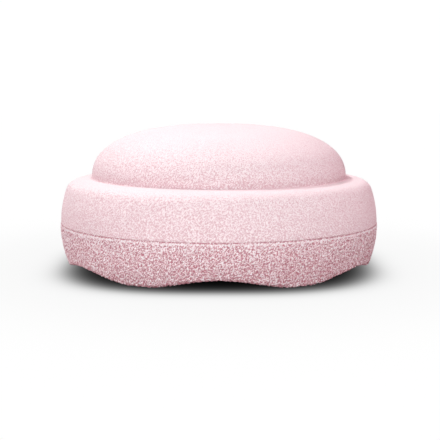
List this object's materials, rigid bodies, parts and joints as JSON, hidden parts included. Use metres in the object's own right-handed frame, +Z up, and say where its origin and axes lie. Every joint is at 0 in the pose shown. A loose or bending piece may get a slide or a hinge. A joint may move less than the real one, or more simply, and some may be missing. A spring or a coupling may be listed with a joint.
{
  "type": "balance stepping stone",
  "caption": "Round domed stepping stone of moulded bead foam with a ledge, a low-footed rim and a hollow base, for balancing on, nesting and stacking.",
  "frame": {"origin": "on the floor, under the middle of the stone", "axes": "+Z up along the stone's axis; +X through the middle of one foot; -Y through the middle of one arch of the rim"},
  "size_m": [0.275, 0.275, 0.122],
  "materials": {
    "fine_foam": "matte, fine moulded grain, pale pink bead foam",
    "coarse_foam": "matte, coarse beaded grain, pale pink bead foam"
  },
  "bodies": {
    "root": {"upper_shell": "fine_foam", "base_ring": "coarse_foam"}
  },
  "joints": []
}
